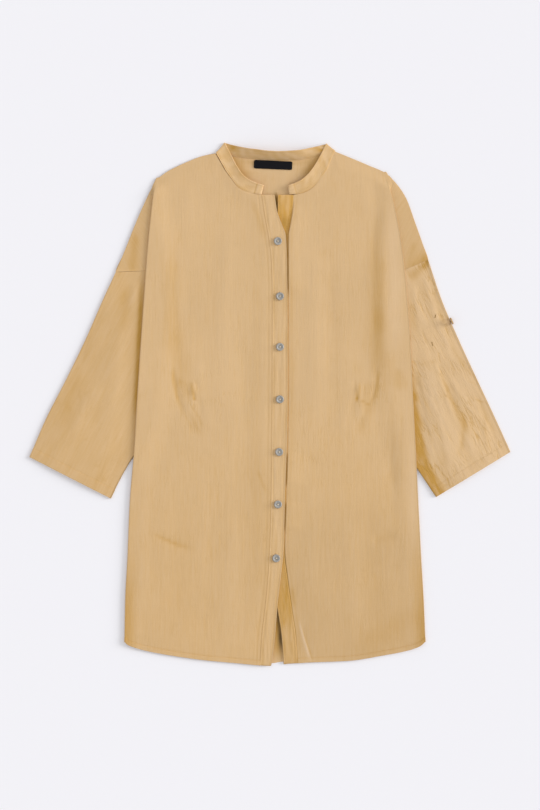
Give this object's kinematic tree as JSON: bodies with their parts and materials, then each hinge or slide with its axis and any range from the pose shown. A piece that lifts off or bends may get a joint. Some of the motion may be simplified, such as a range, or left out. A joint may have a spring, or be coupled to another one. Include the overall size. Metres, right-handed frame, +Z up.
{
  "type": "tunic top",
  "caption": "Women's collarless tunic shirt laid flat, with a standing band collar, buttoned front, dropped shoulders and wide three-quarter sleeves.",
  "frame": {"origin": "middle of the box seen from above, on the surface that the tunic lies on", "axes": "+Y towards the collar, +X to the right of someone looking down at the front (the wearer's left), +Z up from the surface"},
  "size_m": [0.769, 0.8366, 0.0125],
  "materials": {
    "cloth": "crinkled cotton gauze, matt, tan",
    "label_tape": "fine dark woven tape, bare",
    "button_pearl": "grey imitation pearl, soft gloss"
  },
  "bodies": {
    "root": {"back_panel": "cloth", "front_left": "cloth", "front_right": "cloth", "sleeve_left": "cloth", "sleeve_right": "cloth", "placket_over": "cloth", "placket_under": "cloth", "collar_band": "cloth", "neck_label": "label_tape", "button_1": "button_pearl", "button_2": "button_pearl", "button_3": "button_pearl", "button_4": "button_pearl", "button_5": "button_pearl", "button_6": "button_pearl", "button_7": "button_pearl", "sleeve_button": "button_pearl"}
  },
  "joints": []
}
